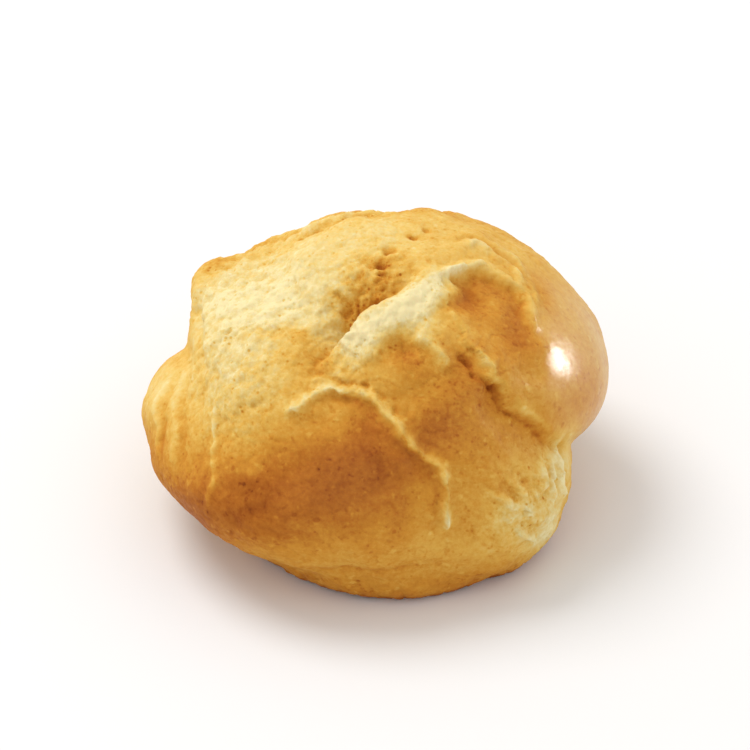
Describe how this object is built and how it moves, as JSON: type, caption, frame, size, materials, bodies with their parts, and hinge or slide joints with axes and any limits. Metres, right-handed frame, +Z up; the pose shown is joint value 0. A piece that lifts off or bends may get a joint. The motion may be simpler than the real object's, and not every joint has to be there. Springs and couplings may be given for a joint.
{
  "type": "cream puff",
  "caption": "Whole baked choux bun with rounded lobes, a torn crack across the top, a raised lip of crust on the front and a flat base to rest on.",
  "frame": {"origin": "centre of the bounding box on the plane of the flat base, where the puff stands", "axes": "+X to the right of the side with the raised lip, which faces -Y; +Z up from the flat base"},
  "size_m": [0.0462, 0.0406, 0.0287],
  "materials": {
    "choux_crust": null
  },
  "bodies": {
    "root": {"choux_puff": "choux_crust"}
  },
  "joints": []
}
